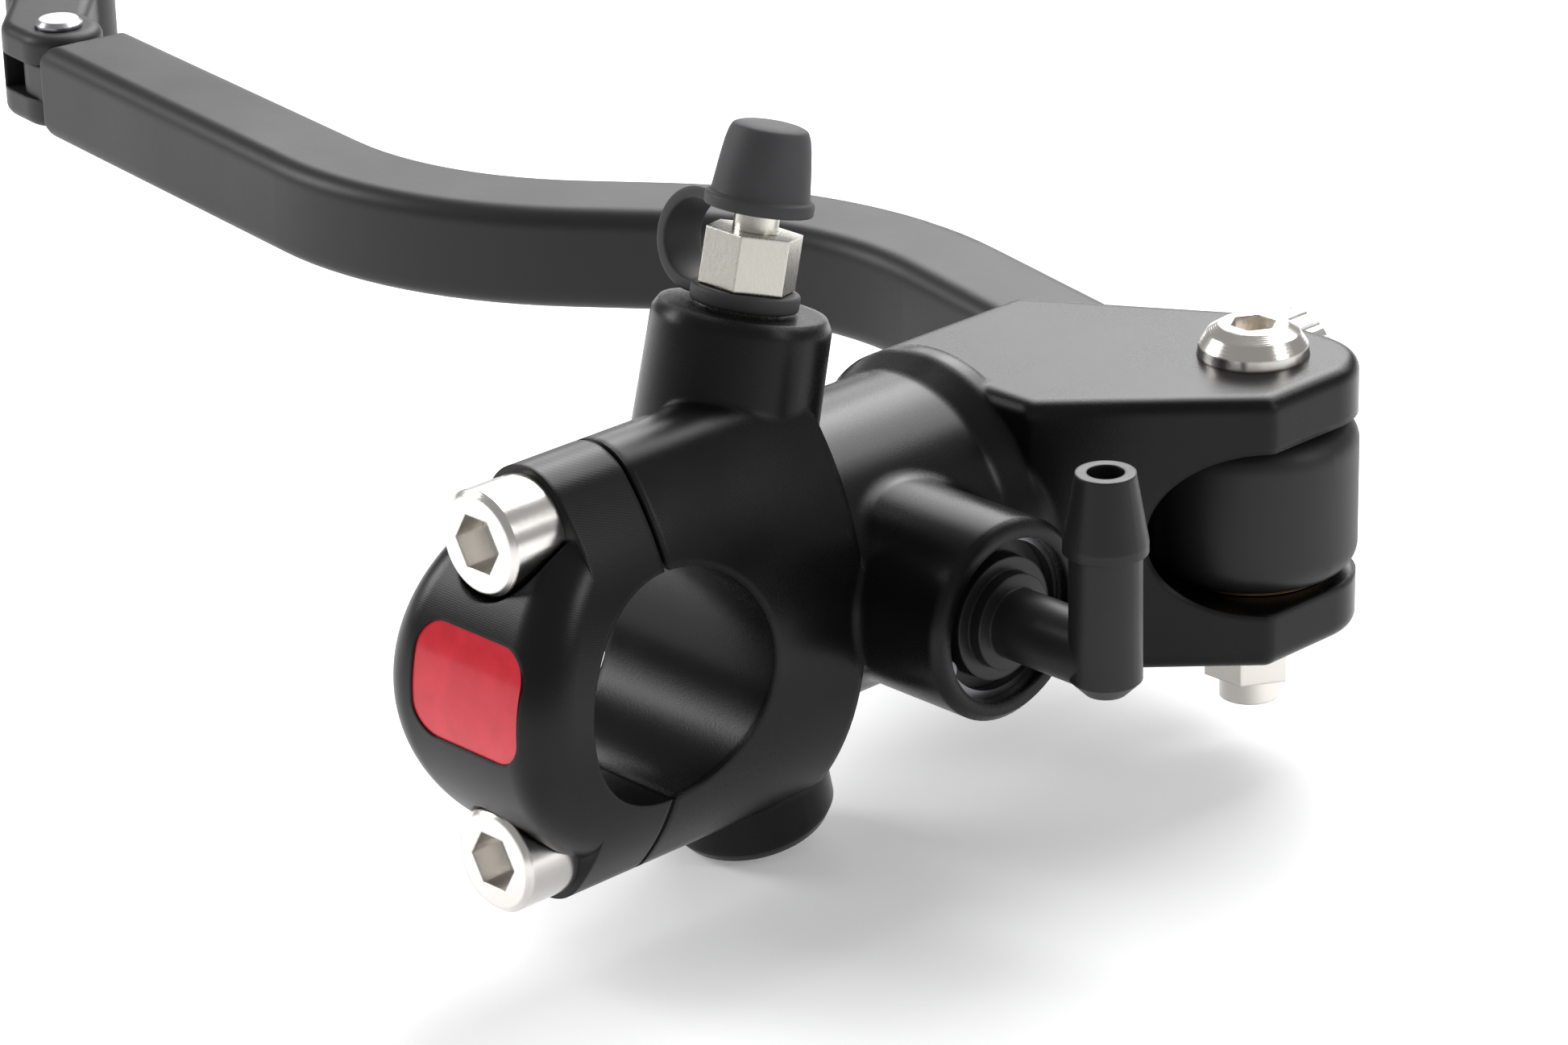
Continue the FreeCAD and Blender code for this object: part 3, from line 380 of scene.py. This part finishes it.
# the strap: a flat section swept half a turn, with straight runs in to the ring and to the brim
half = (capRubber["strapHigh"] - capRubber["strapLow"]) / 2
middle = (capRubber["strapHigh"] + capRubber["strapLow"]) / 2
reach = capRubber["strapOut"] - 0.0042
bpy.ops.mesh.primitive_plane_add(size=1.0, location=(0, 0, 0))
strap = bpy.context.object
strap.name = "rubberStrap"
editAll()
section = (capRubber["strapT"], capRubber["strapW"], 1.0)
bpy.ops.transform.resize(value=section, center_override=(0, 0, 0))
bpy.ops.transform.rotate(value=math.pi / 2, orient_axis="Y", center_override=(0, 0, 0))
start = (reach - capRubber["strapOut"], 0, middle + half - capRubber["strapT"] / 2)
bpy.ops.transform.translate(value=start)
bpy.ops.mesh.extrude_region_move(TRANSFORM_OT_translate={"value": (-reach, 0, 0)})
bendAt = (-capRubber["strapOut"], 0, middle)
bpy.ops.mesh.spin(steps=20, angle=math.pi, center=bendAt, axis=(0, 1, 0))
bpy.ops.mesh.extrude_region_move(TRANSFORM_OT_translate={"value": (reach, 0, 0)})
bpy.ops.mesh.select_all(action="SELECT")
bpy.ops.mesh.remove_doubles(threshold=0.000004)
bpy.ops.mesh.normals_make_consistent(inside=False)
bpy.ops.object.mode_set(mode="OBJECT")
soften(strap, 0.00028, 1)

rubberSet = {"dark": (0.055, 0.055, 0.058), "light": (0.085, 0.085, 0.089), "rough": 0.46}
rubber = Mat("rubberCap", rubberSet["dark"], rubberSet["rough"], 0.0, 0.5)
skin = rubber.noise(1600.0, 4.0, 0.6)
bloom = rubber.noise(130.0, 4.0)
rubber.bump(skin, 0.00003, 0.35)
rubber.feed("Roughness", rubberSet["rough"] + bloom * 0.2 + skin * 0.06)
rubberGrey = rubber.ramp(bloom, 0.3, 0.75, rubberSet["dark"], rubberSet["light"])
rubber.feed("Base Color", rubberGrey)
rubberMat = rubber.done()
turn = joint("bleed_turn")
bpy.ops.object.select_all(action="DESELECT")
for o in (ring, strap, cover):
    o.select_set(True)
bpy.context.view_layer.objects.active = cover
bpy.ops.object.join()
settle(cover, turn["axis"], turn["pos_m"])
cover.data.materials.append(rubberMat)
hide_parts("bleed_cap")
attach(cover, "bleed_cover")
print("rubber cap")

# pleated boot between the cylinder's mouth and the rod
low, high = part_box("dust_boot")
bootSet = {"wall": 0.0009, "lip": 0.0011, "sunk": 0.0015, "rodShare": 0.84, "rodGap": 0.0003,
           "mouthR": 0.0078, "neckOut": 0.0074, "neckIn": 0.0072, "folds":
           [(0.0089, 0.0006), (0.0076, 0.0016), (0.0083, 0.0028),
            (0.0067, 0.0040), (0.0073, 0.0052), (0.0049, 0.0066)]}
rodLow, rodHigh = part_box("pushrod")
lip = (rodHigh[2] - rodLow[2]) / 2 * bootSet["rodShare"] + bootSet["rodGap"]
outR = (high[0] - low[0]) / 2
length = high[1] - low[1] - bootSet["sunk"]
wall = bootSet["wall"]
lipOut = lip + bootSet["lip"]
outer = [(outR, -bootSet["sunk"]), (outR, -0.0001), *bootSet["folds"],
         (lipOut, bootSet["neckOut"]), (lipOut, length)]
inside = [(r - wall, h - 0.0001) for r, h in bootSet["folds"][::-1]]
inner = [(lip, length), (lip, bootSet["neckIn"]), *inside, (bootSet["mouthR"], -bootSet["sunk"])]
boot = spinPiece("dustBoot", outer + inner + [outer[0]], 64)
soften(boot, 0.00016, 1)
boot.data.materials.append(rubberMat)
mouth = ((low[0] + high[0]) / 2, low[1] + bootSet["sunk"], 0.0)
settle(boot, (0, 1, 0), mouth)
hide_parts("dust_boot")
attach(boot, "housing")
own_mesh(boot)
print("dust boot")

# coil spring ahead of the piston
low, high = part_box("return_spring")
coilSet = {"wire": 0.00055, "turns": 6, "round": 14}
coilR = (high[0] - low[0]) / 2 - coilSet["wire"]
coilLength = high[1] - low[1] - 2 * coilSet["wire"]
bpy.ops.mesh.primitive_circle_add(vertices=coilSet["round"], radius=coilSet["wire"], fill_type="NGON")
coil = bpy.context.object
coil.name = "returnSpring"
editAll()
bpy.ops.transform.rotate(value=math.pi / 2, orient_axis="X", center_override=(0, 0, 0))
bpy.ops.transform.translate(value=(coilR, 0, coilSet["wire"]))
bpy.ops.mesh.delete(type="ONLY_FACE")
bpy.ops.object.mode_set(mode="OBJECT")
wind = coil.modifiers.new("wind", "SCREW")
wind.angle = 2 * math.pi * coilSet["turns"]
wind.screw_offset = coilLength
wind.steps = 36 * coilSet["turns"]
wind.render_steps = wind.steps
bpy.context.view_layer.objects.active = coil
bpy.ops.object.modifier_apply(modifier=wind.name)
editAll()
bpy.ops.mesh.select_all(action="DESELECT")
bpy.ops.mesh.select_mode(type="EDGE")
bpy.ops.mesh.select_non_manifold()
bpy.ops.mesh.fill_holes(sides=0)
bpy.ops.mesh.select_all(action="SELECT")
bpy.ops.mesh.normals_make_consistent(inside=False)
bpy.ops.object.mode_set(mode="OBJECT")
bpy.ops.object.shade_smooth_by_angle(angle=math.radians(40))
springEnd = ((low[0] + high[0]) / 2, low[1], (low[2] + high[2]) / 2)
settle(coil, (0, 1, 0), springEnd)
coil.data.materials.append(springMat.mat)
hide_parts("return_spring")
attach(coil, "housing")
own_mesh(coil)
print("return spring")

# pale floor whose faint even glow is painted fill light that lifts its cast shadow, and soft boxes
low, high = cadBox
floorSet = {"size": 6.0, "base": (0.90, 0.90, 0.91), "drop": 0.0004, "fillGlow": 0.28}
under = (-0.05, 0.04, low[2] - floorSet["drop"])
bpy.ops.mesh.primitive_plane_add(size=floorSet["size"], location=under)
floor = bpy.context.object
floor.name = "floor"
glowingFloor = Mat("floorWhiteGlowing", floorSet["base"], 0.85, 0.0, 0.2)
# painted light: the floor's emission stands in for bounce light and paints its cast shadow paler
glowingFloor.bsdf.inputs["Emission Color"].default_value = (1.0, 1.0, 1.0, 1.0)
glowingFloor.bsdf.inputs["Emission Strength"].default_value = floorSet["fillGlow"]
floor.data.materials.append(glowingFloor.mat)

lampSet = {"behind": {"at": (-0.52, 0.60, 0.42), "size": 0.55, "power": 2.8},
           "over": {"at": (-0.18, 0.54, 0.62), "size": 0.62, "power": 6.0},
           "left": {"at": (-0.62, -0.30, 0.34), "size": 0.30, "power": 2.2},
           "right": {"at": (0.62, 0.30, 0.40), "size": 0.24, "power": 1.0}}
target = Vector((-0.03, 0.04, 0.0))
for name, v in lampSet.items():
    light = bpy.data.lights.new(name, "AREA")
    light.size = v["size"]
    light.energy = v["power"]
    lamp = bpy.data.objects.new(name, light)
    bpy.context.scene.collection.objects.link(lamp)
    lamp.location = v["at"]
    lamp.rotation_euler = (target - Vector(v["at"])).to_track_quat("-Z", "Y").to_euler()

roomSet = {"light": 0.42, "gamma": 0.86}
world = bpy.data.worlds.new("studio")
world.use_nodes = True
world.node_tree.nodes["Background"].inputs["Color"].default_value = (1.0, 1.0, 1.0, 1.0)
world.node_tree.nodes["Background"].inputs["Strength"].default_value = roomSet["light"]
scene = bpy.context.scene
scene.world = world
scene.view_settings.view_transform = "Standard"
scene.view_settings.gamma = roomSet["gamma"]
print("floor and lights")

camSet = {"pos": (0.3254, -0.2854, 0.1929), "lens": 120.59, "turn": (67.379, 1.361, 45.982)}
camData = bpy.data.cameras.new("camera")
camData.lens = camSet["lens"]
camData.sensor_width = 36.0
camData.clip_start = 0.01
camera = bpy.data.objects.new("camera", camData)
scene.collection.objects.link(camera)
camera.location = camSet["pos"]
camera.rotation_euler = Euler([math.radians(a) for a in camSet["turn"]], "XYZ")
scene.camera = camera
